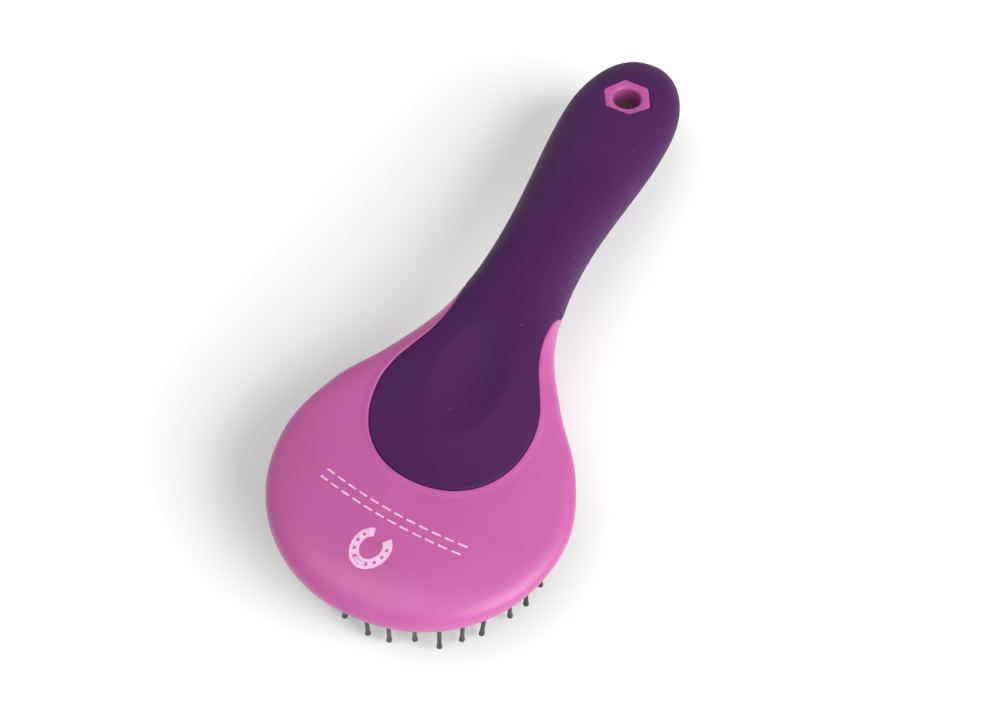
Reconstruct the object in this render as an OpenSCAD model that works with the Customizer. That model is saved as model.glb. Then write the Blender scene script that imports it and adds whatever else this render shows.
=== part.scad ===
// Mane and tail pin brush: moulded body, soft grip, air cushion and rings of pins.
// Millimetres. Back of the brush faces +Z, the pins hang down to Z = 0.
// +Y runs from the front of the head to the end of the handle, the brush is
// symmetrical about X = 0 but for the turn of its hexagonal boss, and the origin
// is the middle of its footprint.

/* [Body] */
// Overall length, front of head to end of handle
overall_length = 220; // [205:1:235]
// Widest part of the head
head_width = 85; // [80:0.2:90]
// Distance from the front of the head to its widest point
head_centre = 42; // [40:0.5:46]
// Height of the head's widest line above the pin tips
head_mid_height = 27.1; // [26:0.1:30]
// Height of the crowned back above the head's widest line
crown_height = 6.9; // [6:0.1:9]
// Depth of the rounded rim below the head's widest line
rim_depth = 4.5; // [4:0.1:6]
// Narrowest width of the neck
neck_width = 26.8; // [24:0.2:30]
// Distance from the front of the head to the narrowest neck
neck_station = 122; // [116:1:128]
// Rise of the neck above the head
neck_rise = 6.4; // [4:0.2:8]

/* [Handle] */
// Widest part of the handle
handle_width = 36; // [32:0.2:40]
// Distance from the front of the head to the widest part of the handle
handle_station = 187; // [176:1:190]
// Depth of the handle below its widest line
handle_depth = 7.6; // [6.5:0.1:9]
// Drop of the handle's end below the neck
handle_drop = 11; // [6:0.5:14]

/* [Soft grip] */
// Thickness of the soft grip
grip_thickness = 2.4; // [2:0.1:2.6]
// How far the grip stands proud of the body
grip_proud = 0.3; // [0.1:0.05:0.6]
// Front end of the grip's tongue on the head, from the front of the head
tongue_front = 38.3; // [36:0.1:44]
// Widest part of the tongue
tongue_width = 46.4; // [40:0.2:50]
// Depth of the thumb dimple
dimple_depth = 2; // [0.5:0.1:2.1]

/* [Hang hole] */
// Distance from the front of the head to the hang hole
hole_station = 195; // [190:0.5:198]
// Diameter of the hang hole
hole_diameter = 9; // [7:0.2:10]
// Width of the hexagonal boss across its corners
boss_corners = 17; // [15:0.2:18]
// Turn of the boss about the hole, in degrees
boss_turn = -5; // [-30:1:30]

/* [Cushion] */
// Radius of the cushion's pocket
pocket_radius = 38.2; // [37.6:0.1:38.4]
// Depth of the pocket above the rim
pocket_depth = 6.5; // [5.8:0.1:6.6]
// How far the middle of the cushion domes out past its edge
cushion_dome = 2.6; // [1.5:0.1:3]
// Rubber thickness of the cushion
cushion_wall = 1.4; // [1.2:0.1:1.6]

/* [Pins] */
// Distance between rings of pins
ring_pitch = 7.06; // [6.8:0.02:7.06]
// Diameter of a pin's shaft
pin_diameter = 1.3; // [1:0.1:1.6]
// Diameter of a pin's rounded tip
tip_diameter = 1.7; // [1.5:0.1:2.2]
// Outward lean of the outermost ring of pins, in degrees
splay = 3.5; // [0:0.5:4]

/* [Hidden] */
gap = 0.05;                       // clearance between the body and its grip
play = 1;                         // the same along the grip's edge, in degrees
y0 = -overall_length / 2;         // front of the head
wh = head_width / 2;
wn = neck_width / 2;
wp = handle_width / 2;
rim_z = head_mid_height - rim_depth;
pocket_y = y0 + pocket_radius + 3.4;
edge_z = rim_z + 0.5;             // cushion's outer face at its edge
edge_r = pocket_radius - 0.8;
skin_z = edge_z - cushion_dome;   // cushion's outer face in the middle
lip_z = rim_z + 4.3;              // lip in its groove, where the wall is thickest
lip_height = 1.2;
root_z = skin_z + cushion_wall + 0.35; // underside of a root flange, middle pin
root_diameter = 2.6;
vent = 1.6;                       // air hole in the cushion
ring_pins = [1, 7, 13, 20, 26, 33];    // pins in each ring, from the middle out
tongue_end = 104;                 // the tongue reaches the sides of the neck
wrap_end = 113;                   // the grip closes under the neck
hole_y = y0 + hole_station;
edge = 0.8;                       // eased edge of the hang hole
seam = 179.3;

// ---- curves along the brush; s is the distance from the front of the head ----
function clamp01(v) = max(0, min(1, v));
function smooth(v) = let (t = clamp01(v)) t * t * (3 - 2 * t);
function round_end(u, p) = pow(max(0, 1 - pow(clamp01(u), p)), 1 / p);
// slope at point i of a list of [station, value] pairs, flat at both ends
function slope(c, i) = (i <= 0 || i >= len(c) - 1) ? 0
    : (c[i + 1][1] - c[i - 1][1]) / (c[i + 1][0] - c[i - 1][0]);
function seg(c, s, i = 0) = (i >= len(c) - 2 || s < c[i + 1][0]) ? i : seg(c, s, i + 1);
// smooth curve through a list of [station, value] pairs
function curve(c, s) = let (
        i = seg(c, s), h = c[i + 1][0] - c[i][0], t = clamp01((s - c[i][0]) / h),
        a = c[i][1], b = c[i + 1][1], m = slope(c, i) * h, n = slope(c, i + 1) * h)
    (2 * pow(t, 3) - 3 * t * t + 1) * a + (pow(t, 3) - 2 * t * t + t) * m
    + (3 * t * t - 2 * pow(t, 3)) * b + (pow(t, 3) - t * t) * n;

// share of the head's width that is left along the shoulder
shoulder = [[0, 1], [0.225, 0.82], [0.41, 0.46], [0.6, 0.165], [0.79, 0.035], [1, 0]];
// half width of the outline
function half_width(s) =
    s < head_centre ? wh * round_end(1 - s / head_centre, 2.05)
    : s < neck_station
        ? wn + (wh - wn) * curve(shoulder, (s - head_centre) / (neck_station - head_centre))
    : s < handle_station
        ? wn + (wp - wn) * smooth((s - neck_station) / (handle_station - neck_station))
    : wp * round_end((s - handle_station) / (overall_length - handle_station), 2.2);
// rounding of both ends seen from the side
function end_round(s) = min(round_end(1 - s / 18, 2.2),
                            round_end((s - overall_length + 15) / 15, 2.2));
// height of the widest line
drop = [[0, 0], [0.17, 0.08], [0.35, 0.29], [0.54, 0.53], [0.72, 0.72], [1, 1]];
function mid_z(s) = head_mid_height + neck_rise * smooth((s - 38) / 66)
    - handle_drop * curve(drop, clamp01((s - 112) / (overall_length - 112)));
// height of the back above the widest line
crown = [[0, 0], [45, 0], [75, 1.2], [95, 2.7], [118, 3.5], [145, 2.9], [172, 1.6],
         [200, 1.4], [220, 1.4]];
function top_h(s) = end_round(s) * (crown_height + curve(crown, s));
// depth of the underside below the widest line
function low_h(s) = end_round(s) * (smooth((s - 78) / 40) * handle_depth
    + (1 - smooth((s - 78) / 40)) * (mid_z(s) - rim_z));
// faces of the hexagonal boss
boss_high = mid_z(hole_station) + top_h(hole_station) - 0.35;
boss_low = mid_z(hole_station) - low_h(hole_station) + 0.7;
// corner sharpness of the upper and lower halves of a section
function sharp_top(s) = 2.72 - 0.4 * smooth((s - 75) / 35);
function sharp_low(s) = 3.2 - 0.9 * smooth((s - 75) / 35);

// point of a section: a is the angle from the crown, d the inset from the outside
function spow(v, p) = sign(v) * pow(abs(v), p);
function section_point(s, a, d = 0) = let (
        e = 2 / (abs(a) <= 90 ? sharp_top(s) : sharp_low(s)),
        w = max(0.2, half_width(s) - d),
        h = max(0.2, (abs(a) <= 90 ? top_h(s) : low_h(s)) - d))
    [w * spow(sin(a), e), y0 + s, mid_z(s) + h * spow(cos(a), e)];

// ---- edge of the soft grip ----
// half width of the tongue
function tongue_half(s) = let (
        r = tongue_width / 2, e = tongue_front + 24.5)
    s < e ? r * round_end((e - s) / (e - tongue_front), 2.15)
    : curve([[e, r], [70, 0.945 * r], [76, 0.83 * r], [83, 0.69 * r], [90, 0.615 * r],
             [97.5, 0.605 * r], [tongue_end, 0.64 * r]], s);
// angle from the crown that the grip covers
function cover(s) = s <= tongue_front ? 0
    : s < tongue_end ? min(90, asin(min(1, pow(tongue_half(s) / half_width(s),
                                              sharp_top(s) / 2))))
    : 180 - 90 * sqrt(1 - clamp01((s - tongue_end) / (wrap_end - tongue_end)));
// the thumb dimple
dimple_s = 72; dimple_long = 17.5; dimple_wide = 11;
function dimple(p) = let (
        q = pow(p[0] / dimple_wide, 2) + pow((p[1] - y0 - dimple_s) / dimple_long, 2))
    q < 1 ? dimple_depth * pow(1 - q, 1.3) : 0;
function dimpled(p) = [p[0], p[1], p[2] - dimple(p)];

// ---- stations ----
cover_n = 9;    // steps across the covered half
bare_n = 10;    // steps across the bare half
function cosine(a, b, n, i) = a + (b - a) * (1 - cos(180 * i / n)) / 2;
head_st = concat([0.05], [for (i = [1:8]) (tongue_front - 0.1) * (1 - cos(90 * i / 8))]);
tongue_st = [for (i = [0:7]) tongue_front + 0.05 + (60 - tongue_front) * (1 - cos(90 * i / 7)),
             for (s = [64:4:96]) s, 99, 101.5, 103];
wrap_n = 9;     // steps of equal angle in which the grip closes under the neck
wrap_st = [for (k = [0:wrap_n - 1]) wrap_end - (wrap_end - tongue_end) * pow(1 - k / wrap_n, 2)];
neck_face = wrap_st[wrap_n - 1] + 0.01;    // where the bare underside stops
handle_st = [for (s = [119:7:203]) s, 208, 212];
tip_st = [215, 217.4, 219, 219.8];

// angles of one section loop, crown round to the underside and back
function warp(u, s) = pow(u, sharp_top(s) / 2);
function covered(s, f) = [for (i = [-cover_n:cover_n]) sign(i) * f * warp(abs(i) / cover_n, s)];
function bare(s, f) = [for (i = [0:2 * bare_n]) let (a = f + (360 - 2 * f) * i / (2 * bare_n))
                       a > 180 ? a - 360 : a];
// body loop: inset by d under the grip and by e elsewhere
function body_loop(s, f, d, e = 0) = concat(
    [for (a = covered(s, f)) section_point(s, a, d)],
    [for (a = bare(s, f)) section_point(s, a, e)]);
// outside of the grip, and its inside run back the other way
function grip_out(s, f) = [for (a = covered(s, f)) dimpled(section_point(s, a, -grip_proud))];
function grip_in(s, f, d) = let (c = covered(s, f))
    [for (i = [len(c) - 1:-1:0]) section_point(s, c[i], d)];

// closed solid through loops of equal length
module loft(loops) {
    n = len(loops[0]); m = len(loops);
    a = [for (k = [0:2]) [for (p = loops[0]) p[k]] * [for (p = loops[0]) 1] / n];
    b = [for (k = [0:2]) [for (p = loops[m - 1]) p[k]] * [for (p = loops[0]) 1] / n];
    pts = concat([for (l = loops) for (p = l) p], [a, b]);
    sides = [for (j = [0:m - 2]) for (i = [0:n - 1]) let (k = (i + 1) % n)
             for (t = [0, 1]) t == 0 ? [j * n + i, (j + 1) * n + k, j * n + k]
                                     : [j * n + i, (j + 1) * n + i, (j + 1) * n + k]];
    caps = [for (i = [0:n - 1]) let (k = (i + 1) % n)
            for (t = [0, 1]) t == 0 ? [m * n, i, k]
                                    : [m * n + 1, (m - 1) * n + k, (m - 1) * n + i]];
    polyhedron(points = pts, faces = concat(sides, caps), convexity = 8);
}

module boss(c, lift) translate([0, hole_y, boss_low - lift]) rotate(boss_turn)
    cylinder(d = c, h = boss_high - boss_low + 2 * lift, $fn = 6);

// pink moulding: head, neck and the core of the handle
module body_shell() color([0.82, 0.4, 0.66]) difference() {
    union() {
        loft(concat(
            [for (s = head_st) body_loop(s, 4, 0.02)],
            [for (s = concat(tongue_st, wrap_st)) body_loop(s, cover(s), grip_thickness)],
            [for (s = concat([neck_face], handle_st, [overall_length - grip_thickness - 1]))
                body_loop(s, seam, grip_thickness, grip_thickness)]));
        boss(boss_corners, 0);
    }
    // pocket for the cushion, with the groove that holds its lip
    translate([0, pocket_y, rim_z - 5])
        cylinder(r = pocket_radius, h = pocket_depth + 5, $fn = 96);
    translate([0, pocket_y, lip_z - 0.3])
        cylinder(r = pocket_radius + 1.2, h = lip_height + 0.6, $fn = 96);
    // hang hole with eased edges
    translate([0, hole_y, 0]) cylinder(d = hole_diameter, h = 60, $fn = 48);
    translate([0, hole_y, boss_high - edge])
        cylinder(d1 = hole_diameter, d2 = hole_diameter + 4 * edge, h = 2 * edge, $fn = 48);
    translate([0, hole_y, boss_low - edge])
        cylinder(d1 = hole_diameter + 4 * edge, d2 = hole_diameter, h = 2 * edge, $fn = 48);
}

// purple overmould: tongue on the head, then a sleeve round neck and handle
strip_st = concat([tongue_st[0] + 0.2], [for (i = [1:len(tongue_st) - 1]) tongue_st[i]],
                  wrap_st, [wrap_end]);
outer_st = concat(handle_st, tip_st);
inner_st = concat(handle_st, [overall_length - grip_thickness - 0.9]);
strip = [for (s = strip_st) let (f = min(seam, max(2, cover(s) - play)))
         concat(grip_out(s, f), grip_in(s, f, grip_thickness - gap))];
outer = [for (s = outer_st) grip_out(s, seam)];
inner = [for (s = inner_st) [for (a = covered(s, seam)) section_point(s, a, grip_thickness - gap)]];
gn = 2 * cover_n + 1;           // points across the outside
glast = len(strip_st) - 1;      // the strip's last loop starts the sleeve
gout = 2 * gn * len(strip_st);
gin = gout + gn * len(outer_st);
gend = gin + gn * len(inner_st);
function mid(l) = [for (k = [0:2]) [for (p = l) p[k]] * [for (p = l) 1] / len(l)];
// index of point i on loop j, for the outside and the inside of the sleeve
function io(j, i) = j == 0 ? glast * 2 * gn + i : gout + (j - 1) * gn + i;
function ii(j, i) = j == 0 ? glast * 2 * gn + 2 * gn - 1 - i : gin + (j - 1) * gn + i;
grip_faces = concat(
    [for (j = [0:glast - 1]) for (i = [0:2 * gn - 1]) let (
        k = (i + 1) % (2 * gn), a = j * 2 * gn, b = a + 2 * gn)
        for (f = [[a + i, b + k, a + k], [a + i, b + i, b + k]]) f],
    // front end of the tongue
    [for (i = [0:gn - 2]) for (f = [[i, i + 1, 2 * gn - 1 - i],
                                    [i + 1, 2 * gn - 2 - i, 2 * gn - 1 - i]]) f],
    // sleeve, outside and inside
    [for (j = [0:len(outer_st) - 1]) for (i = [0:gn - 1]) let (k = (i + 1) % gn)
        for (f = [[io(j, i), io(j + 1, k), io(j, k)], [io(j, i), io(j + 1, i), io(j + 1, k)]]) f],
    [for (j = [0:len(inner_st) - 1]) for (i = [0:gn - 1]) let (k = (i + 1) % gn)
        for (f = [[ii(j, i), ii(j, k), ii(j + 1, k)], [ii(j, i), ii(j + 1, k), ii(j + 1, i)]]) f],
    // where the strip closes under the neck
    [[io(0, gn - 1), io(0, 0), ii(0, 0)], [io(0, gn - 1), ii(0, 0), ii(0, gn - 1)]],
    // closed end of the handle
    [for (i = [0:gn - 1]) let (k = (i + 1) % gn, j = len(outer_st)) [gend, io(j, k), io(j, i)]],
    [for (i = [0:gn - 1]) let (k = (i + 1) % gn, j = len(inner_st)) [gend + 1, ii(j, i), ii(j, k)]]);

module soft_grip() color([0.33, 0.18, 0.38]) difference() {
    polyhedron(points = concat([for (l = strip) for (p = l) p], [for (l = outer) for (p = l) p],
                               [for (l = inner) for (p = l) p],
                               [mid(outer[len(outer) - 1]) + [0, 0.1, 0], mid(inner[len(inner) - 1])]),
               faces = grip_faces, convexity = 8);
    boss(boss_corners + 0.2, 10);
}

// domed rubber cushion, open at the back, held by a lip round its edge
function dome_z(r) = skin_z + cushion_dome * pow(r / edge_r, 2);
function ring_r(k) = k * ring_pitch;
module at_pins(k, lean = 0) for (i = [0:ring_pins[k] - 1]) let (a = 360 * i / ring_pins[k] - 90)
    translate([ring_r(k) * cos(a), pocket_y + ring_r(k) * sin(a), 0])
        translate([0, 0, root_z]) rotate([0, -lean, a]) translate([0, 0, -root_z]) children();

module cushion_pad() color([0.12, 0.12, 0.13]) difference() {
    translate([0, pocket_y, 0]) rotate_extrude($fn = 96) polygon(concat(
        [for (i = [0:8]) [edge_r * i / 8, dome_z(edge_r * i / 8)]],
        [[pocket_radius - 0.4, edge_z + 0.4], [pocket_radius - 0.4, lip_z],
         [pocket_radius + 0.9, lip_z], [pocket_radius + 0.9, lip_z + lip_height],
         [pocket_radius - 1.3, lip_z + lip_height], [pocket_radius - 1.3, dome_z(edge_r) + cushion_wall]],
        [for (i = [7:-1:0]) [edge_r * i / 8, dome_z(edge_r * i / 8) + cushion_wall]]));
    for (k = [0:5]) at_pins(k) translate([0, 0, dome_z(ring_r(k)) - 1])
        cylinder(d = pin_diameter + 0.6, h = cushion_wall + 2.2, $fn = 24);
    translate([0, pocket_y - ring_pitch / 2, skin_z - 1])
        cylinder(d = vent, h = cushion_wall + 2, $fn = 24);
}

// one pin: root flange, tapered shaft and rounded tip
module pin() rotate_extrude($fn = 24) union() {
    polygon([[0, tip_diameter / 2], [pin_diameter / 2 - 0.1, tip_diameter / 2],
             [pin_diameter / 2, skin_z - 2], [pin_diameter / 2, root_z],
             [root_diameter / 2, root_z], [root_diameter / 2, root_z + 0.8], [0, root_z + 0.8]]);
    intersection() {
        translate([0, tip_diameter / 2]) circle(d = tip_diameter, $fn = 24);
        square([tip_diameter, tip_diameter + 1]);
    }
}

module pin_ring(k) color([0.2, 0.2, 0.21])
    translate([0, 0, dome_z(ring_r(k)) - skin_z]) at_pins(k, splay * k / 5) pin();

body_shell();
soft_grip();
cushion_pad();
pin_ring(0);  // pin_centre
pin_ring(1);  // pin_ring_1
pin_ring(2);  // pin_ring_2
pin_ring(3);  // pin_ring_3
pin_ring(4);  // pin_ring_4
pin_ring(5);  // pin_ring_5
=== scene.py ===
"""Mane and tail pin brush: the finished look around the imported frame.

Shapes are worked out in millimetres in the frame's own axes: +Z is the back of
the brush, +Y runs from the front of the head to the end of the handle, and s is
the distance from the front of the head.
"""
import math
import random

import bmesh
import bpy
import numpy as np
from mathutils import Matrix, Vector


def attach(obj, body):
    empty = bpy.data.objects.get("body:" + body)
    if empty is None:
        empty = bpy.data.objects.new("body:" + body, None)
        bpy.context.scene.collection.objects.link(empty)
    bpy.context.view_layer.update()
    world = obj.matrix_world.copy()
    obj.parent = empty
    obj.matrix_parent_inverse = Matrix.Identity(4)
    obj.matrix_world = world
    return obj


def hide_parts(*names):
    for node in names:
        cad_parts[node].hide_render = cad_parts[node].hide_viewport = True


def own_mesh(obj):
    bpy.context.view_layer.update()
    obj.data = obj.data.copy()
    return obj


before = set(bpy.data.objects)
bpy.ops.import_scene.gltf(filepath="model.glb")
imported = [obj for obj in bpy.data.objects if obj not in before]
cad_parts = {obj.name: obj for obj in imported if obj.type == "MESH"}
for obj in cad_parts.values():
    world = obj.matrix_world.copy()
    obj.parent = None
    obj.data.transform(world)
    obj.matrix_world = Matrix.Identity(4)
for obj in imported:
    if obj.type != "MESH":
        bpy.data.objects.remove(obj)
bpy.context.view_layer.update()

MM = 0.001

# ---------------------------------------------------------------- sizes, mm
LENGTH = 220.0
HALF_HEAD = 42.5
HEAD_CENTRE = 42.0
HEAD_MID_Z = 27.1
CROWN = 6.9
RIM_DEPTH = 4.5
HALF_NECK = 13.4
NECK_S = 122.0
NECK_RISE = 6.4
HALF_HANDLE = 18.0
HANDLE_S = 187.0
HANDLE_DEPTH = 7.6
HANDLE_DROP = 11.0
GRIP_THICK = 2.4
GRIP_PROUD = 0.3
GRIP_GAP = 0.09
TONGUE_FRONT = 38.3
TONGUE_HALF = 23.2
TONGUE_ROUND = 24.5
TONGUE_CENTRE = TONGUE_FRONT + TONGUE_ROUND
TONGUE_END = 104.0
TONGUE_SHARP = 2.15               # squareness of the tongue's round end
WRAP_END = 113.0
DIMPLE_S, DIMPLE_LONG, DIMPLE_WIDE, DIMPLE_DEPTH = 72.0, 17.5, 11.0, 2.0
HOLE_S = 195.0
HOLE_R = 4.5
BOSS_R = 8.6
BOSS_TURN = math.radians(-5)
BOSS_HIGH = 32.92
BOSS_LOW = 18.06
Y0 = -LENGTH / 2
RIM_Z = HEAD_MID_Z - RIM_DEPTH
POCKET_R = 38.2
POCKET_DEPTH = 6.5
POCKET_Y = Y0 + POCKET_R + 3.4
EDGE_Z = RIM_Z + 0.5
EDGE_R = POCKET_R - 0.8
DOME = 2.6
SKIN_Z = EDGE_Z - DOME
WALL = 1.4
LIP_Z = RIM_Z + 4.3
LIP_HEIGHT = 1.2
RING_PITCH = 7.06
RING_PINS = [1, 7, 13, 20, 26, 33]
RING_BODIES = ["centre_pin"] + ["pins_ring_%d" % k for k in range(1, 6)]
RING_NODES = ["pin_centre"] + ["pin_ring_%d" % k for k in range(1, 6)]
PIN_R = 0.64
TIP_R = 0.84
TOP_SHARP, LOW_SHARP = 2.72, 3.2  # squareness of the head's section, above and below
CORNER = 22                       # squareness of the hexagon's corners
SHARP_ANGLE = 38.0                # degrees; a tighter bend than this is a crease
ROUND_STEPS = 144                 # steps round the boss and its opening
WELD, TURNED_WELD, FINE_WELD = 2e-7, 1e-7, 1e-8  # metres; closer points are one


# ------------------------------------------------------- curves of the brush
def clamp01(v):
    return np.clip(v, 0.0, 1.0)


def smooth(v):
    t = clamp01(v)
    return t * t * (3 - 2 * t)


def round_end(u, p):
    return np.maximum(0, 1 - clamp01(u) ** p) ** (1 / p)


def curve(points, s):
    """Smooth curve through [station, value] pairs, flat at both ends."""
    k, v = np.array(points, float).T
    m = np.zeros(len(k))
    m[1:-1] = (v[2:] - v[:-2]) / (k[2:] - k[:-2])
    i = np.clip(np.searchsorted(k, s, side="right") - 1, 0, len(k) - 2)
    h = k[i + 1] - k[i]
    t = clamp01((s - k[i]) / h)
    return ((2 * t**3 - 3 * t * t + 1) * v[i] + (t**3 - 2 * t * t + t) * m[i] * h
            + (3 * t * t - 2 * t**3) * v[i + 1] + (t**3 - t * t) * m[i + 1] * h)


SHOULDER = [[0, 1], [0.225, 0.82], [0.41, 0.46], [0.6, 0.165], [0.79, 0.035], [1, 0]]
DROP = [[0, 0], [0.17, 0.08], [0.35, 0.29], [0.54, 0.53], [0.72, 0.72], [1, 1]]
CROWN_RISE = [[0, 0], [45, 0], [75, 1.2], [95, 2.7], [118, 3.5], [145, 2.9],
              [172, 1.6], [200, 1.4], [220, 1.4]]
TONGUE = [[TONGUE_CENTRE, 1], [70, 0.945], [76, 0.83], [83, 0.69], [90, 0.615],
          [97.5, 0.605], [TONGUE_END, 0.64]]


def half_width(s):
    s = np.asarray(s, float)
    head = HALF_HEAD * round_end(1 - s / HEAD_CENTRE, 2.05)
    shoulder = HALF_NECK + (HALF_HEAD - HALF_NECK) * curve(
        SHOULDER, (s - HEAD_CENTRE) / (NECK_S - HEAD_CENTRE))
    grip = HALF_NECK + (HALF_HANDLE - HALF_NECK) * smooth((s - NECK_S) / (HANDLE_S - NECK_S))
    end = HALF_HANDLE * round_end((s - HANDLE_S) / (LENGTH - HANDLE_S), 2.2)
    return np.where(s < HEAD_CENTRE, head,
                    np.where(s < NECK_S, shoulder, np.where(s < HANDLE_S, grip, end)))


def end_round(s):
    return np.minimum(round_end(1 - s / 18, 2.2), round_end((s - LENGTH + 15) / 15, 2.2))


def mid_z(s):
    return (HEAD_MID_Z + NECK_RISE * smooth((s - 38) / 66)
            - HANDLE_DROP * curve(DROP, clamp01((s - 112) / (LENGTH - 112))))


def top_h(s):
    return end_round(s) * (CROWN + curve(CROWN_RISE, s))


def low_h(s):
    t = smooth((s - 78) / 40)
    return end_round(s) * (t * HANDLE_DEPTH + (1 - t) * (mid_z(s) - RIM_Z))


def sharp(s, up):
    t = smooth((s - 75) / 35)
    return np.where(up, TOP_SHARP - 0.4 * t, LOW_SHARP - 0.9 * t)


def level(x, s, z):
    """Zero on the outside of the brush, below zero inside it."""
    m = mid_z(s)
    up = z >= m
    h = np.maximum(np.where(up, top_h(s), low_h(s)), 1e-3)
    w = np.maximum(half_width(s), 1e-3)
    p = sharp(s, up)
    return (np.abs(z - m) / h) ** p + (np.abs(x) / w) ** p - 1


def outward(x, s, z):
    h = 2e-3
    g = np.stack([level(x + h, s, z) - level(x - h, s, z),
                  level(x, s + h, z) - level(x, s - h, z),
                  level(x, s, z + h) - level(x, s, z - h)], -1)
    size = np.linalg.norm(g, axis=-1, keepdims=True)
    return np.where(size > 1e-12, g / np.maximum(size, 1e-12), [0.0, 1.0, 0.0])


def top_z(x, s):
    """Height of the back over a point of the plan."""
    p = sharp(s, True)
    share = clamp01(np.abs(x) / np.maximum(half_width(s), 1e-6))
    return mid_z(s) + top_h(s) * (1 - share**p) ** (1 / p)


def cover(s):
    """Angle from the crown that the grip covers."""
    if s < TONGUE_END:
        half = TONGUE_HALF * float(curve(TONGUE, s))
        share = min(1.0, half / float(half_width(s)))
        return math.degrees(math.asin(min(1.0, share ** (float(sharp(s, True)) / 2))))
    return 180 - 90 * math.sqrt(max(0.0, (WRAP_END - s) / (WRAP_END - TONGUE_END)))


def dimple(x, s):
    q = (x / DIMPLE_WIDE) ** 2 + ((s - DIMPLE_S) / DIMPLE_LONG) ** 2
    return DIMPLE_DEPTH * np.maximum(0, 1 - q) ** 1.3


# ------------------------------------------------- rows that follow the shape
BEND_WEIGHT = 15.0                # mm of length that one radian of turn counts for


class Row:
    """One half section, from the crown (0) round to the underside (180).

    A ray row fans out from the middle of the tongue's round end, and a station
    row is a plain cross section, so columns keep square to the grip's edge.
    """

    def __init__(self, ray=None, s=None):
        self.ray, self.s = ray, s
        if s is None:
            self.reach = self.outline(ray)
            a, b = math.sin(ray) / TONGUE_HALF, math.cos(ray) / TONGUE_ROUND
            edge = (abs(a) ** TONGUE_SHARP + abs(b) ** TONGUE_SHARP) ** (-1 / TONGUE_SHARP)
            self.cover = math.degrees(math.asin((edge / self.reach) ** (TOP_SHARP / 2)))
        else:
            self.cover = 180.0 if s >= WRAP_END else cover(s)
        self.a = np.linspace(0, 180, 1441)
        pts = np.stack(self.point(self.a), -1)
        step = np.diff(pts, axis=0)
        size = np.linalg.norm(step, axis=1)
        self.length = np.concatenate([[0], np.cumsum(size)])
        u = step / np.maximum(size, 1e-9)[:, None]
        turn = np.arccos(np.clip((u[1:] * u[:-1]).sum(1), -1, 1))
        turn = np.concatenate([[0], turn, [0]])
        self.paced = self.length + BEND_WEIGHT * np.cumsum(turn)
        self.lean = 1.0           # stretch of a width across the grip's edge

    @staticmethod
    def outline(ray):
        low, high = 0.0, 90.0
        for _ in range(50):
            r = (low + high) / 2
            s = TONGUE_CENTRE - r * math.cos(ray)
            inside = s > 0 and r * math.sin(ray) < float(half_width(s))
            low, high = (r, high) if inside else (low, r)
        return low

    def point(self, a):
        """x, s and z of the outside at angles a."""
        a = np.asarray(a, float)
        up = a <= 90
        t, c = np.abs(np.sin(np.radians(a))), np.abs(np.cos(np.radians(a)))
        if self.s is not None:
            s = np.full_like(a, self.s)
            e = 2 / sharp(s, up)
            z = mid_z(s) + np.where(up, top_h(s), -low_h(s)) * c**e
            return half_width(s) * t**e, s, z
        e = 2 / np.where(up, TOP_SHARP, LOW_SHARP)
        r = t**e * self.reach
        x, s = r * math.sin(self.ray), TONGUE_CENTRE - r * math.cos(self.ray)
        w = half_width(s)
        share = clamp01(x / np.maximum(w, 1e-9))
        p = 2 / e
        return x, s, mid_z(s) + np.where(up, top_h(s), -low_h(s)) * (1 - share**p) ** (1 / p)

    def spread(self, a0, a1, n):
        k = np.interp([a0, a1], self.a, self.paced)
        return np.interp(np.linspace(k[0], k[1], n + 1), self.paced, self.a)

    def beside(self, offset):
        """Angle at a length along the section from the grip's edge."""
        edge = np.interp(self.cover, self.a, self.length)
        return np.interp(edge + offset, self.length, self.a)

    def skin(self, a, depth, sunk=False):
        """Points at angles a, a depth inside the surface, in frame axes."""
        x, s, z = self.point(a)
        depth = np.broadcast_to(depth, x.shape)
        moved = np.stack([x, s, z], -1) - outward(x, s, z) * depth[:, None]
        moved = np.where(depth[:, None] == 0, np.stack([x, s, z], -1), moved)
        if sunk:
            moved[:, 2] -= dimple(moved[:, 0], moved[:, 1])
        moved[:, 0] = np.maximum(moved[:, 0], 0)
        moved[(np.asarray(a) <= 0) | (np.asarray(a) >= 180), 0] = 0
        if self.ray == 0:
            moved[:, 0] = 0
        moved[:, 1] += Y0
        return moved


def edge_lean(rows):
    """How obliquely the grip's edge crosses each station row."""
    for i, row in enumerate(rows):
        if row.s is None or row.s >= WRAP_END:
            continue
        after = rows[min(i + 1, len(rows) - 1)]
        if after.s is None or after.s == row.s:
            continue
        run = [np.interp(r.cover, r.a, r.length) for r in (row, after)]
        row.lean = min(4.0, math.hypot(1, (run[1] - run[0]) / (after.s - row.s)))


FAN = [Row(ray=math.radians(d)) for d in np.linspace(0, 90, 61)[:-1]]
TONGUE_ROWS = [Row(s=s) for s in np.linspace(TONGUE_CENTRE, TONGUE_END, 34)[:-1]]
WRAP_ROWS = [Row(s=WRAP_END - (WRAP_END - TONGUE_END) * (1 - u) ** 2)
             for u in np.linspace(0, 1, 31)]
tail = LENGTH - WRAP_END
HANDLE_ROWS = [Row(s=WRAP_END + d) for d in np.linspace(0, 90, 61)[1:]]
HANDLE_ROWS += [Row(s=LENGTH - (tail - 90) * math.cos(t))
                for t in np.linspace(0, math.pi / 2, 26)[1:-1]]
HANDLE_ROWS += [Row(s=LENGTH - 0.004)]
HEAD_ROWS = FAN + TONGUE_ROWS + WRAP_ROWS
edge_lean(HEAD_ROWS)


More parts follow.
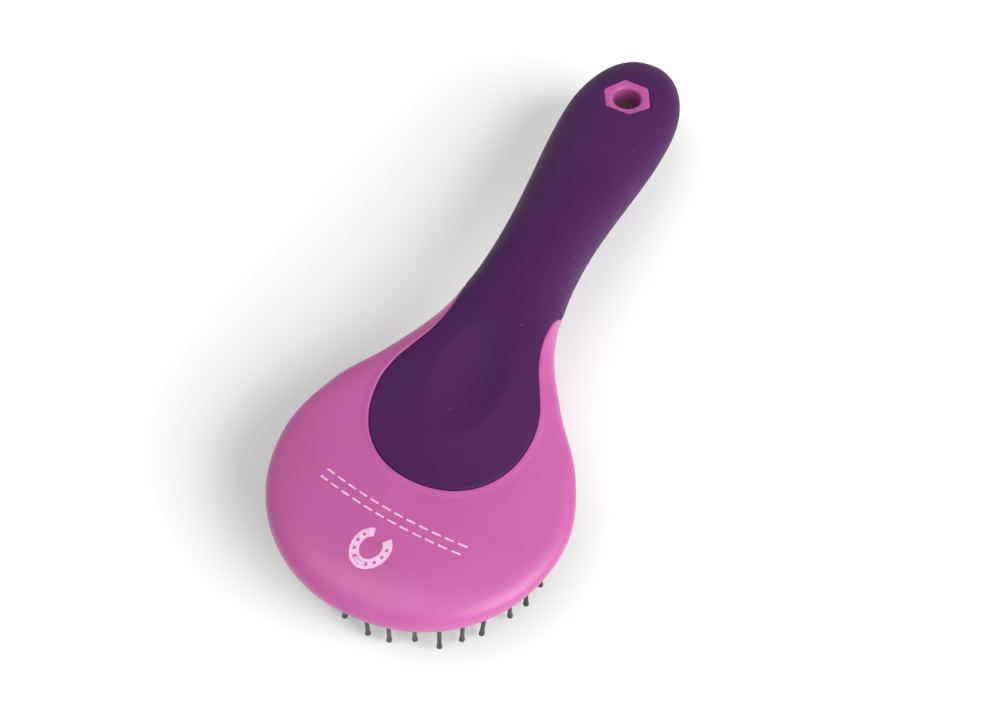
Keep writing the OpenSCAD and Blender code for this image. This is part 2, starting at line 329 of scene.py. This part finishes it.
# ------------------------------------------------------------- mesh builders
def new_object(name, verts, faces, sharp_angle=SHARP_ANGLE, weld=WELD):
    mesh = bpy.data.meshes.new(name)
    bm = bmesh.new()
    made = [bm.verts.new(Vector(v) * MM) for v in verts]
    for f in faces:
        bm.faces.new([made[i] for i in f])
    bmesh.ops.remove_doubles(bm, verts=bm.verts, dist=weld)
    bmesh.ops.dissolve_degenerate(bm, edges=bm.edges, dist=weld)
    bmesh.ops.recalc_face_normals(bm, faces=bm.faces)
    bm.to_mesh(mesh)
    bm.free()
    obj = bpy.data.objects.new(name, mesh)
    bpy.context.scene.collection.objects.link(obj)
    shade(obj, sharp_angle)
    return obj


def shade(obj, sharp_angle=SHARP_ANGLE):
    mesh = obj.data
    mesh.polygons.foreach_set("use_smooth", [True] * len(mesh.polygons))
    mesh.set_sharp_from_angle(angle=math.radians(sharp_angle))


def mirrored(name, rows, ends):
    """Closed solid from half rows that begin and end on the plane of symmetry.

    Each pair in ends is the first and last column of a run that the last row closes.
    """
    m, n = len(rows), len(rows[0])
    right = np.concatenate(rows)
    left = right * [-1, 1, 1]
    flat = np.abs(right[:, 0]) < 1e-7
    faces = []
    for j in range(m - 1):
        for i in range(n - 1):
            quad = [j * n + i, j * n + i + 1, (j + 1) * n + i + 1, (j + 1) * n + i]
            if all(flat[q] for q in quad):
                continue
            faces.append(quad)
            faces.append([q + m * n for q in reversed(quad)])
    last = (m - 1) * n
    for a, b in ends:
        faces.append([last + i for i in range(a, b + 1)]
                     + [last + m * n + i for i in range(b - 1, a, -1)])
    return new_object(name, np.concatenate([right, left]), faces)


def cut(obj, tool):
    """Cuts a tool object, which is used up, out of obj."""
    mod = obj.modifiers.new("cut", "BOOLEAN")
    mod.object, mod.operation, mod.solver = tool, "DIFFERENCE", "EXACT"
    bpy.context.view_layer.update()
    done = bpy.data.meshes.new_from_object(
        obj.evaluated_get(bpy.context.evaluated_depsgraph_get()))
    obj.modifiers.clear()
    old, obj.data = obj.data, done
    done.name = obj.name
    bpy.data.meshes.remove(old)
    bpy.data.objects.remove(tool)
    shade(obj)


def turned(name, profile, centre, segments):
    """Solid of revolution about a vertical axis; profile is (radius, z) pairs.

    It starts half a step round, so that no cut runs along the plane of symmetry.
    """
    verts, faces = [], []
    n = len(profile)
    for j in range(segments):
        t = 2 * math.pi * (j + 0.5) / segments
        verts += [(centre[0] + r * math.cos(t), centre[1] + r * math.sin(t), z)
                  for r, z in profile]
    for j in range(segments):
        k = (j + 1) % segments
        for i in range(n):
            i2 = (i + 1) % n
            quad = [j * n + i, j * n + i2, k * n + i2, k * n + i]
            if profile[i][0] == 0 and profile[i2][0] == 0:
                continue
            faces.append(quad)
    return new_object(name, verts, faces, weld=TURNED_WELD)


def hexagon(t, across):
    """Distance to the side of a hexagon with softly rounded corners."""
    apothem = across * math.cos(math.pi / 6)
    t -= BOSS_TURN
    total = sum(max(0.0, math.cos(t - math.pi / 6 - k * math.pi / 3) / apothem) ** CORNER
                for k in range(6))
    return total ** (-1 / CORNER)


def rings(name, loops, centre):
    """Closed solid from a stack of loops; each loop is a function t -> (r, z)."""
    n = ROUND_STEPS
    verts = []
    for loop in loops:
        for j in range(n):
            t = 2 * math.pi * (j + 0.5) / n
            r, z = loop(t)
            verts.append((centre[0] + r * math.cos(t), centre[1] + r * math.sin(t), z))
    faces = [[i * n + j, i * n + (j + 1) % n, (i + 1) * n + (j + 1) % n, (i + 1) * n + j]
             for i in range(len(loops) - 1) for j in range(n)]
    faces += [list(range(n)), list(range((len(loops) - 1) * n, len(loops) * n))]
    return new_object(name, verts, faces)


# --------------------------------------------------------------- pink moulding
SHELL_EDGE = 0.45                 # rounding of the pink edge beside the grip
WELT, WELT_WIDTH = 0.24, 2.1      # low raised line that runs along that edge
FLOOR_COLS, SHELL_ROUND, WELT_COLS, SHELL_COLS = 8, 5, 8, 60


def shell_row(row):
    if row.s is not None and row.s >= WRAP_END:
        a = np.linspace(0, 180, FLOOR_COLS + 1)
        a = np.concatenate([a, np.full(SHELL_ROUND + WELT_COLS + SHELL_COLS + 1, 180.0)])
        return row.skin(a, GRIP_THICK)
    room = np.interp(180, row.a, row.length) - np.interp(row.cover, row.a, row.length)
    size = min(SHELL_EDGE, 0.35 * room / row.lean)
    turn = np.radians(np.linspace(0, 90, SHELL_ROUND + 1))
    floor = row.spread(0, row.cover, FLOOR_COLS)
    lip = [row.beside(size * (1 - math.cos(t)) * row.lean) for t in turn]
    share = np.linspace(0, 1, WELT_COLS + 1)[1:]
    width = min(WELT_WIDTH, 0.6 * room / row.lean - size)
    welt = [row.beside((size + width * t) * row.lean) for t in share]
    bare = row.spread(welt[-1], 180, SHELL_COLS)[1:]
    a = np.concatenate([floor, lip, welt, bare])
    tall = WELT * float(clamp01(width / WELT_WIDTH))
    depth = np.concatenate([np.full(len(floor), GRIP_THICK),
                            [size * (1 - math.sin(t)) - tall * math.sin(t) for t in turn],
                            [-tall * (0.5 + 0.5 * math.cos(math.pi * t)) for t in share],
                            np.zeros(len(bare))])
    return row.skin(a, depth)


shell = mirrored("body_moulding", [shell_row(r) for r in HEAD_ROWS + HANDLE_ROWS[::3]
                                   + [HANDLE_ROWS[-1]]], [(0, FLOOR_COLS)])
pocket = turned("pocket", [(0, RIM_Z - 4), (POCKET_R + 0.5, RIM_Z - 4), (POCKET_R, RIM_Z + 1.2),
                           (POCKET_R, LIP_Z - 0.3), (POCKET_R + 1.2, LIP_Z - 0.3),
                           (POCKET_R + 1.2, LIP_Z + LIP_HEIGHT + 0.3),
                           (POCKET_R, LIP_Z + LIP_HEIGHT + 0.3),
                           (POCKET_R, RIM_Z + POCKET_DEPTH), (0, RIM_Z + POCKET_DEPTH)],
                (0, POCKET_Y), 180)
cut(shell, pocket)
HOLE_Y = Y0 + HOLE_S
cut(shell, rings("core", [lambda t: (hexagon(t, BOSS_R - 0.3), 0),
                          lambda t: (hexagon(t, BOSS_R - 0.3), 60)], (0, HOLE_Y)))

# hexagonal boss with its hole, all of one closed skin
BOSS_EDGE, HOLE_EDGE = 0.7, 1.15


def boss_profile():
    """(share of the way from hole to side, size, z) round one wall of the boss."""
    turn = [math.radians(a) for a in np.linspace(0, 90, 7)]
    out = [("side", BOSS_EDGE * (1 - math.cos(t)), BOSS_HIGH - BOSS_EDGE * (1 - math.sin(t)))
           for t in turn]
    out += [("hole", HOLE_EDGE * (1 - math.sin(t)), BOSS_HIGH - HOLE_EDGE * (1 - math.cos(t)))
            for t in turn]
    out += [("hole", HOLE_EDGE * (1 - math.cos(t)), BOSS_LOW + HOLE_EDGE * (1 - math.sin(t)))
            for t in turn]
    out += [("side", BOSS_EDGE * (1 - math.sin(t)), BOSS_LOW + BOSS_EDGE * (1 - math.cos(t)))
            for t in turn]
    return out


def boss():
    n, verts, profile = ROUND_STEPS, [], boss_profile()
    for j in range(n):
        t = 2 * math.pi * j / n
        for kind, inset, z in profile:
            r = hexagon(t, BOSS_R) - inset if kind == "side" else HOLE_R + inset
            verts.append((r * math.cos(t), HOLE_Y + r * math.sin(t), z))
    m = len(profile)
    faces = [[j * m + i, j * m + (i + 1) % m, (j + 1) % n * m + (i + 1) % m, (j + 1) % n * m + i]
             for j in range(n) for i in range(m)]
    return new_object("hang_boss", verts, faces, 45)


hang_boss = boss()

# -------------------------------------------------------------- purple soft grip
GRIP_EDGE = 0.55
GRIP_COLS, GRIP_ROUND, INNER_COLS = 46, 6, 9


def grip_row(row):
    whole = row.s is not None and row.s >= WRAP_END
    inner_depth = GRIP_THICK - 0.05
    if whole:
        size, edge = 0.0, 180.0
    else:
        fade = 1.0 if row.s is None else float(smooth((WRAP_END - row.s) / 1.2))
        size = GRIP_EDGE * max(fade, 0.02)
        edge = float(row.beside(-GRIP_GAP * row.lean * max(fade, 0.02)))
    turn = np.radians(np.linspace(90, 0, GRIP_ROUND + 1))
    base = np.interp(edge, row.a, row.length)
    lip = np.interp([base - size * row.lean * (1 - math.cos(t)) for t in turn],
                    row.length, row.a)
    top = row.spread(0, lip[0], GRIP_COLS)[:-1]
    drop = [size * (1 - math.sin(t)) for t in turn]
    out_a = np.concatenate([top, lip])
    out_d = -GRIP_PROUD + np.concatenate([np.zeros(len(top)), drop])
    outside = row.skin(out_a, out_d, sunk=True)
    inside = row.skin(row.spread(edge, 0, INNER_COLS), inner_depth)
    return np.concatenate([outside, inside])


GRIP_OUTER = GRIP_COLS + GRIP_ROUND       # last column of the grip's outside
grip = mirrored("soft_grip_cover", [grip_row(r) for r in HEAD_ROWS + HANDLE_ROWS],
                [(0, GRIP_OUTER), (GRIP_OUTER + 1, GRIP_OUTER + 1 + INNER_COLS)])


def grip_top(t, r):
    """Height of the grip's outside beside the boss."""
    x, s = r * math.cos(t), HOLE_S + r * math.sin(t)
    return float(top_z(x, s)) + GRIP_PROUD


def grip_under(t, r):
    x, s = r * math.cos(t), HOLE_S + r * math.sin(t)
    share = min(1.0, abs(x) / float(half_width(s)))
    p = float(sharp(s, False))
    return float(mid_z(s)) - float(low_h(s)) * (1 - share**p) ** (1 / p) - GRIP_PROUD


# mouth of the opening: how far out, and how far below the grip's surface
MOUTH = [(0.0, 0.62), (0.05, 0.36), (0.14, 0.19), (0.28, 0.07), (0.5, -0.06)]


def opening_loops():
    gap = BOSS_R + 0.1

    def low(out, drop):
        return lambda t: (hexagon(t, gap) + out, grip_under(t, hexagon(t, gap) + out) + drop)

    def high(out, drop):
        return lambda t: (hexagon(t, gap) + out, grip_top(t, hexagon(t, gap) + out) - drop)
    last = MOUTH[-1][0] + 0.35
    loops = [lambda t: (hexagon(t, gap) + last, 4.0), low(last, -0.35)]
    loops += [low(o, d) for o, d in reversed(MOUTH)]
    loops += [high(o, d) for o, d in MOUTH]
    loops += [high(last, -0.35), lambda t: (hexagon(t, gap) + last, 50.0)]
    return loops


cut(grip, rings("opening", opening_loops(), (0, HOLE_Y)))


# ------------------------------------------------------------- rubber cushion
def dome_z(r):
    return SKIN_Z + DOME * (r / EDGE_R) ** 2


def pin_places(k):
    for i in range(RING_PINS[k]):
        t = 2 * math.pi * i / RING_PINS[k] - math.pi / 2
        yield k * RING_PITCH * math.cos(t), POCKET_Y + k * RING_PITCH * math.sin(t)


def cushion_piece():
    out = [(EDGE_R * i / 26, dome_z(EDGE_R * i / 26)) for i in range(27)]
    back = [(r, z + WALL) for r, z in reversed(out)]
    pad = turned("rubber_cushion", out + back, (0, POCKET_Y), 120)
    vent = turned("vent", [(0, SKIN_Z - 1), (0.8, SKIN_Z - 1), (0.8, SKIN_Z + 3), (0, SKIN_Z + 3)],
                  (0, POCKET_Y - RING_PITCH / 2), 28)
    cut(pad, vent)
    # small moulded collar round each pin and round the air hole
    verts, faces = [], []
    seg = 18
    spots = [(x, y, PIN_R + 0.06, 0.55, 0.45) for k in range(6) for x, y in pin_places(k)]
    spots.append((0, POCKET_Y - RING_PITCH / 2, 0.8, 0.6, 0.3))
    for x, y, inner, width, tall in spots:
        z = dome_z(math.hypot(x, y - POCKET_Y))
        loop = [(inner, z + 0.3), (inner, z - tall + 0.1), (inner + 0.1, z - tall),
                (inner + 0.45 * width, z - tall * 0.93), (inner + 0.72 * width, z - tall * 0.6),
                (inner + width, z - 0.02), (inner + width + 0.25, z + 0.3)]
        start, n = len(verts), len(loop)
        for j in range(seg):
            t = 2 * math.pi * j / seg
            verts += [(x + r * math.cos(t), y + r * math.sin(t), h) for r, h in loop]
        faces += [[start + j * n + i, start + j * n + (i + 1) % n,
                   start + (j + 1) % seg * n + (i + 1) % n, start + (j + 1) % seg * n + i]
                  for j in range(seg) for i in range(n)]
    collars = new_object("collars", verts, faces, weld=FINE_WELD)
    join(pad, collars)
    return pad


def join(obj, other):
    bm = bmesh.new()
    bm.from_mesh(obj.data)
    bm.from_mesh(other.data)
    bm.to_mesh(obj.data)
    bm.free()
    bpy.data.objects.remove(other)
    shade(obj)


cushion = cushion_piece()
rim_bead = turned("cushion_rim", [
    (EDGE_R - 0.5, EDGE_Z + 0.9), (EDGE_R - 0.5, EDGE_Z - 0.02), (EDGE_R - 0.38, EDGE_Z - 0.22),
    (EDGE_R - 0.15, EDGE_Z - 0.34), (EDGE_R + 0.12, EDGE_Z - 0.34),
    (EDGE_R + 0.36, EDGE_Z - 0.2), (EDGE_R + 0.5, EDGE_Z + 0.1), (EDGE_R + 0.5, LIP_Z),
    (POCKET_R + 0.9, LIP_Z), (POCKET_R + 0.9, LIP_Z + LIP_HEIGHT),
    (POCKET_R - 1.3, LIP_Z + LIP_HEIGHT), (POCKET_R - 1.3, EDGE_Z + 0.9)], (0, POCKET_Y), 120)

# ------------------------------------------------------------------------ pins
random.seed(41)
SWAY = math.radians(1.3)          # usual lean of a pin
SPLAY = math.radians(3.5)         # the outer ring fans out on the dome
SEG = 16
PIN_TOP = SKIN_Z + WALL + 1.15


def pin_loops(lift):
    """(z, radius) from the root flange down to the rounded tip."""
    root = PIN_TOP - 0.8
    loops = [(PIN_TOP, 1.25), (root, 1.25), (root - 0.02, PIN_R + 0.06), (16, PIN_R + 0.03),
             (9, PIN_R), (4.4, PIN_R - 0.02), (2.6, PIN_R), (1.75, PIN_R + 0.09),
             (1.15, TIP_R - 0.02), (0.7, TIP_R)]
    loops += [(0.7 - 0.7 * math.sin(t), TIP_R * math.cos(t) ** 0.8)
              for t in (0.35, 0.7, 1.0, 1.25, 1.42)]
    return [(z + lift, r) for z, r in loops]


# sideways and fore-and-aft lean in degrees of the front pins, left to right
FRONT_LEAN = {-3: (0, -3), -2: (1, -6), -1: (-3, -4), 0: (0, -1), 1: (-2, -1), 2: (-3, -4),
              3: (-1, 2), 4: (-3, 2), 5: (-4, 6), 6: (0, 1), 7: (1, 5), 8: (2, 5)}


def pin_group(k):
    verts, faces = [], []
    lift = dome_z(k * RING_PITCH) - SKIN_Z
    for i, (x, y) in enumerate(pin_places(k)):
        lean_x, lean_y = random.gauss(0, SWAY), random.gauss(0, SWAY)
        lean_x, lean_y = (max(-2.4 * SWAY, min(2.4 * SWAY, v)) for v in (lean_x, lean_y))
        splay = SPLAY * k / 5
        angle = math.atan2(y - POCKET_Y, x) if k else 0.0
        bow = random.uniform(-0.3, 0.3)
        twist = random.uniform(0, math.tau)
        side = i if i <= RING_PINS[k] / 2 else i - RING_PINS[k]
        if k == 5 and side in FRONT_LEAN:
            lean_x, lean_y = (math.radians(v) for v in FRONT_LEAN[side])
            bow *= 0.5
        lean_x += splay * math.cos(angle)
        lean_y -= splay * math.sin(angle)
        loops = pin_loops(lift)
        root = loops[1][0]
        start = len(verts)
        for z, r in loops:
            down = max(0.0, root - z)
            arc = bow * math.sin(math.pi * min(1, down / root))
            cx = x + down * math.tan(lean_x) + arc * math.cos(twist)
            cy = y - down * math.tan(lean_y) + arc * math.sin(twist)
            verts += [(cx + r * math.cos(t), cy + r * math.sin(t), z)
                      for t in (twist + math.tau * j / SEG for j in range(SEG))]
        m = len(loops)
        faces += [[start + a * SEG + j, start + a * SEG + (j + 1) % SEG,
                   start + (a + 1) * SEG + (j + 1) % SEG, start + (a + 1) * SEG + j]
                  for a in range(m - 1) for j in range(SEG)]
        faces += [[start + j for j in range(SEG)],
                  [start + (m - 1) * SEG + j for j in range(SEG)]]
    name = "pin_middle" if k == 0 else "pins_%d" % k
    return new_object(name, verts, faces, 40, weld=FINE_WELD)


pin_rings = [pin_group(k) for k in range(6)]

# ----------------------------------------------------------------- printed mark
PRINT_UP, PRINT_DOWN = 0.045, 0.12


def ribbon(path, width):
    """Thin solid strip draped on the back, along plan points (x, s)."""
    path = np.array(path, float)
    n = len(path)
    along = np.gradient(path, axis=0)
    along /= np.linalg.norm(along, axis=1, keepdims=True)
    side = np.stack([-along[:, 1], along[:, 0]], -1)
    widths = np.broadcast_to(width, n)
    verts, faces = [], []
    across = 5
    for i in range(n):
        for j in range(across):
            p = path[i] + side[i] * widths[i] * (j / (across - 1) - 0.5)
            z = float(top_z(p[0], p[1]))
            verts.append((p[0], p[1] + Y0, z + PRINT_UP))
        for j in range(across):
            q = verts[i * 2 * across + j]
            verts.append((q[0], q[1], q[2] - PRINT_UP - PRINT_DOWN))
    w = 2 * across
    for i in range(n - 1):
        a, b = i * w, (i + 1) * w
        for j in range(across - 1):
            faces.append([a + j, a + j + 1, b + j + 1, b + j])
            faces.append([a + across + j + 1, a + across + j, b + across + j, b + across + j + 1])
        faces.append([a, b, b + across, a + across])
        faces.append([a + across - 1, a + w - 1, b + w - 1, b + across - 1])
    for a in (0, (n - 1) * w):
        faces.append([a + j for j in range(across)]
                     + [a + w - 1 - j for j in range(across)])
    return verts, faces


def printed(name, strips):
    verts, faces = [], []
    for v, f in strips:
        faces += [[i + len(verts) for i in q] for q in f]
        verts += v
    return new_object(name, verts, faces, 30, weld=FINE_WELD)


SHOE_X, SHOE_S = -2.4, 16.6       # middle of the horseshoe
SHOE_R, SHOE_W = 4.1, 2.5
SHOE_TURN = math.radians(-14)


def horseshoe():
    """A band in three strips, the middle one broken by the nail holes."""
    def band(low, high, inset, width):
        path = []
        for a in np.linspace(low, high, max(4, int((high - low) / 5))):
            t = math.radians(a)
            r = SHOE_R + inset
            u, v = r * math.sin(t), -(1.0 + 0.22 * math.cos(t / 2)) * r * math.cos(t)
            path.append((SHOE_X + u * math.cos(SHOE_TURN) - v * math.sin(SHOE_TURN),
                         SHOE_S + u * math.sin(SHOE_TURN) + v * math.cos(SHOE_TURN)))
        return ribbon(path, width)
    third = SHOE_W / 3
    strips = [band(-150, 150, third * 0.96, third), band(-150, 150, -third * 0.96, third)]
    stops = [-150, -112, -84, -56, -28, 28, 56, 84, 112, 150]
    gap = 5.5
    for low, high in zip(stops[:-1], stops[1:]):
        strips.append(band(low + (gap if low > -150 else 0), high - (gap if high < 150 else 0),
                           0, third * 1.02))
    return strips


LINE_X, LINE_S, LINE_R = 15.1, 164.3, 140.0  # middle and radius of the stitched lines
LINE_FROM, LINE_TO = math.radians(-16.4), math.radians(1.5)
LINE_APART = 2.6
DASH, DASH_GAP, DASH_W = 2.6, 1.2, 0.5


def dashes():
    strips = []
    for radius in (LINE_R, LINE_R - LINE_APART):
        t = LINE_FROM
        while t < LINE_TO:
            ends = np.linspace(t, t + DASH / radius, 5)
            strips.append(ribbon([(LINE_X + radius * math.sin(a), LINE_S - radius * math.cos(a))
                                  for a in ends], DASH_W))
            t += (DASH + DASH_GAP) / radius
    return strips


mark = printed("printed_mark", horseshoe() + dashes())


# ------------------------------------------------------------------- materials
def srgb(r, g, b):
    def linear(v):
        v /= 255
        return v / 12.92 if v <= 0.04045 else ((v + 0.055) / 1.055) ** 2.4
    return (linear(r), linear(g), linear(b), 1)


class Maker:
    """A material's node tree in short calls."""

    def __init__(self, name):
        self.mat = bpy.data.materials.new(name)
        self.mat.use_nodes = True
        self.tree = self.mat.node_tree
        self.shader = self.tree.nodes["Principled BSDF"]
        coords = self.tree.nodes.new("ShaderNodeTexCoord")
        self.place = coords.outputs["Object"]

    def node(self, kind, **values):
        n = self.tree.nodes.new(kind)
        for key, value in values.items():
            if hasattr(n, key):
                setattr(n, key, value)
            else:
                n.inputs[key.replace("_", " ")].default_value = value
        return n

    def link(self, a, b):
        self.tree.links.new(a, b)

    def noise(self, scale, detail=3.0, stretch=None):
        n = self.node("ShaderNodeTexNoise", Scale=scale, Detail=detail)
        place = self.place
        if stretch:
            m = self.node("ShaderNodeMapping")
            m.inputs["Scale"].default_value = stretch
            self.link(self.place, m.inputs["Vector"])
            place = m.outputs["Vector"]
        self.link(place, n.inputs["Vector"])
        return n.outputs["Fac"]

    def ramp(self, fac, stops):
        n = self.tree.nodes.new("ShaderNodeValToRGB")
        ramp = n.color_ramp
        while len(ramp.elements) < len(stops):
            ramp.elements.new(0.5)
        for e, (pos, colour) in zip(ramp.elements, stops):
            e.position, e.color = pos, colour
        self.link(fac, n.inputs["Fac"])
        return n.outputs["Color"]

    def grey(self, fac, low, high, a=0.35, b=0.65):
        return self.ramp(fac, [(a, (low, low, low, 1)), (b, (high, high, high, 1))])

    def mix(self, fac, a, b):
        n = self.node("ShaderNodeMix", data_type="RGBA")
        for value, socket in ((fac, n.inputs[0]), (a, n.inputs[6]), (b, n.inputs[7])):
            if isinstance(value, bpy.types.NodeSocket):
                self.link(value, socket)
            else:
                socket.default_value = value
        return n.outputs[2]

    def bump(self, heights):
        """heights: (socket, strength, distance in mm), finest last."""
        last = None
        for socket, strength, distance in heights:
            n = self.node("ShaderNodeBump", Strength=strength, Distance=distance * MM)
            self.link(socket, n.inputs["Height"])
            if last:
                self.link(last, n.inputs["Normal"])
            last = n.outputs["Normal"]
        self.link(last, self.shader.inputs["Normal"])

    def set(self, **values):
        for key, value in values.items():
            socket = self.shader.inputs[key.replace("_", " ")]
            if isinstance(value, bpy.types.NodeSocket):
                self.link(value, socket)
            else:
                socket.default_value = value


PER_CM, PER_DM = 100, 10           # scale metres to cm and to dm


def pink_plastic(name, paint_bore_shade=False):
    """The pink moulding; for the boss it also paints shade on the wall of the hang hole, darker
    lower down, and gives a duller shine.
    """
    m = Maker(name)
    cloud = m.noise(28, 3)
    fine = m.noise(900, 2)
    scuff = m.noise(60, 4, (1, 0.08, 1))
    colour = m.ramp(cloud, [(0.3, srgb(176, 81, 145)), (0.7, srgb(184, 87, 153))])
    if paint_bore_shade:
        # painted shade in the hang hole, from the distance from the hole's axis in cm, and height
        # in dm
        flat = m.node("ShaderNodeVectorMath", operation="MULTIPLY_ADD")
        flat.inputs[1].default_value = (PER_CM, PER_CM, 0)
        flat.inputs[2].default_value = (0, -PER_CM * HOLE_Y * MM, 0)
        m.link(m.place, flat.inputs[0])
        span = m.node("ShaderNodeVectorMath", operation="LENGTH")
        m.link(flat.outputs["Vector"], span.inputs[0])
        inside = m.grey(span.outputs["Value"], 1, 0, 0.1 * HOLE_R + 0.005, 0.1 * HOLE_R + 0.06)
        height = m.node("ShaderNodeVectorMath", operation="DOT_PRODUCT")
        height.inputs[1].default_value = (0, 0, PER_DM)
        m.link(m.place, height.inputs[0])
        bore_shade_by_depth = m.grey(height.outputs["Value"], 1, 0.1, 0.01 * (BOSS_HIGH - 9), 0.01 * BOSS_HIGH)
        # painted shade: the hole's wall is mixed towards a deep red-purple, more strongly lower
        # down
        colour = m.mix(m.mix(inside, (0, 0, 0, 1), bore_shade_by_depth), colour, srgb(84, 8, 56))
        m.set(Specular_IOR_Level=0.3)
    scratches = m.grey(scuff, 0, 1, 0.66, 0.74)
    m.set(Base_Color=colour,
          Roughness=m.mix(scratches, m.grey(cloud, 0.34, 0.4), (0.47, 0.47, 0.47, 1)),
          Subsurface_Weight=0.12, Subsurface_Radius=(1.0, 0.35, 0.6), Subsurface_Scale=0.0015,
          IOR=1.49)
    m.bump([(m.noise(170, 2), 0.12, 0.12), (fine, 0.1, 0.03)])
    return m.mat


def purple_rubber():
    m = Maker("purple_grip_finish")
    cloud = m.noise(22, 4)
    colour = m.ramp(cloud, [(0.3, srgb(64, 22, 74)), (0.7, srgb(72, 28, 82))])
    lint = m.node("ShaderNodeTexVoronoi", Scale=330.0)
    m.link(m.place, lint.inputs["Vector"])
    patch = m.grey(m.noise(70, 2), 0, 1, 0.5, 0.62)
    speck = m.grey(lint.outputs["Distance"], 1, 0, 0.05, 0.13)
    dust = m.mix(patch, (0, 0, 0, 1), speck)
    m.set(Base_Color=m.mix(dust, colour, srgb(98, 66, 108)),
          Roughness=m.grey(m.noise(120, 3), 0.52, 0.62),
          Sheen_Weight=0.03, Sheen_Roughness=0.5, Sheen_Tint=srgb(200, 160, 215), IOR=1.5,
          Specular_IOR_Level=0.16)
    m.bump([(m.noise(420, 3), 0.18, 0.06), (m.noise(1500, 2), 0.22, 0.03)])
    return m.mat


def black_rubber():
    m = Maker("black_rubber_finish")
    cloud = m.noise(60, 4)
    m.set(Base_Color=m.ramp(cloud, [(0.3, srgb(30, 30, 32)), (0.7, srgb(40, 40, 43))]),
          Roughness=m.grey(m.noise(200, 3), 0.5, 0.66), IOR=1.52)
    m.bump([(m.noise(600, 2), 0.2, 0.05), (m.noise(1800, 2), 0.2, 0.02)])
    return m.mat


def dark_nylon():
    m = Maker("dark_nylon_finish")
    m.set(Base_Color=m.ramp(m.noise(150, 2), [(0.3, srgb(34, 35, 37)), (0.7, srgb(46, 47, 50))]),
          Roughness=m.grey(m.noise(400, 2), 0.36, 0.5), IOR=1.53)
    m.bump([(m.noise(900, 2, (1, 1, 0.15)), 0.15, 0.03)])
    return m.mat


def print_ink():
    m = Maker("pale_print")
    worn = m.grey(m.noise(700, 3), 0, 1, 0.52, 0.72)
    m.set(Base_Color=m.mix(worn, srgb(226, 184, 214), srgb(212, 150, 192)),
          Roughness=m.grey(m.noise(500, 2), 0.38, 0.5), IOR=1.48)
    m.bump([(m.noise(1200, 2), 0.15, 0.02)])
    return m.mat


def finish_with(obj, mat):
    obj.data.materials.clear()
    obj.data.materials.append(mat)


PINK, PINK_BORE_SHADED = pink_plastic("pink_shell_finish"), pink_plastic("pink_boss_painted_shade", True)
PURPLE, RUBBER, NYLON, INK = purple_rubber(), black_rubber(), dark_nylon(), print_ink()
for obj, mat, slot in [(shell, PINK, "pink_shell"), (hang_boss, PINK_BORE_SHADED, "pink_shell"),
                       (grip, PURPLE, "purple_grip"), (cushion, RUBBER, "black_rubber"),
                       (rim_bead, RUBBER, "black_rubber"), (mark, INK, "pink_shell")]:
    finish_with(obj, mat)
    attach(obj, "brush")
for obj, body, node in zip(pin_rings, RING_BODIES, RING_NODES):
    finish_with(obj, NYLON)
    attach(obj, body)
    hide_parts(node)
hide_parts("body_shell")
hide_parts("soft_grip")
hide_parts("cushion_pad")
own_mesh(cushion)

# ------------------------------------------------------ floor, light and camera
FLOOR_SIZE, FLOOR_Z = 12, -0.0002  # metres; just below the pin tips
WORLD_STRENGTH = 0.42
SENSOR = 36
floor_mat = Maker("pale_floor")
floor_mat.set(Base_Color=floor_mat.ramp(floor_mat.noise(3, 2), [(0.3, (0.93, 0.93, 0.93, 1)),
                                                                (0.7, (0.95, 0.95, 0.95, 1))]),
              Roughness=0.85)
bpy.ops.mesh.primitive_plane_add(size=FLOOR_SIZE, location=(0, 0, FLOOR_Z))
floor = bpy.context.object
floor.name = "floor"
floor.data.materials.append(floor_mat.mat)

world = bpy.data.worlds.new("studio")
bpy.context.scene.world = world
world.use_nodes = True
world.node_tree.nodes["Background"].inputs["Color"].default_value = (1, 1, 1, 1)
world.node_tree.nodes["Background"].inputs["Strength"].default_value = WORLD_STRENGTH


def softbox(name, place, target, size, power):
    light = bpy.data.lights.new(name, "AREA")
    light.shape, light.size, light.energy = "DISK", size, power
    obj = bpy.data.objects.new(name, light)
    bpy.context.scene.collection.objects.link(obj)
    obj.location = place
    obj.rotation_euler = (Vector(target) - Vector(place)).to_track_quat("-Z", "Y").to_euler()


MIDDLE = (0, 0, 0.03)
softbox("key", (2.6, -0.6, 1.8), MIDDLE, 2.8, 122.0)
softbox("fill", (-0.6, -0.9, 2.8), MIDDLE, 2.0, 24.0)

AZIMUTH, ELEVATION, ROLL = math.radians(22.8), math.radians(56.9), math.radians(1.5)
TARGET = Vector((3.8, -25.5, 30.0)) * MM
DISTANCE = 0.372
LENS = 46.8
back = Vector((math.sin(AZIMUTH) * math.cos(ELEVATION),
               -math.cos(AZIMUTH) * math.cos(ELEVATION), math.sin(ELEVATION)))
right = Vector((math.cos(AZIMUTH), math.sin(AZIMUTH), 0))
up = back.cross(right)
right, up = (right * math.cos(ROLL) + up * math.sin(ROLL),
             up * math.cos(ROLL) - right * math.sin(ROLL))
camera = bpy.data.cameras.new("camera")
camera.lens, camera.sensor_width = LENS, SENSOR
camera.clip_start = 0.01
eye = bpy.data.objects.new("camera", camera)
bpy.context.scene.collection.objects.link(eye)
turn = np.array([right, up, back]).T
eye.matrix_world = Matrix.Translation(TARGET + back * DISTANCE) @ Matrix(turn.tolist()).to_4x4()
bpy.context.scene.camera = eye
bpy.context.scene.view_settings.view_transform = "Standard"
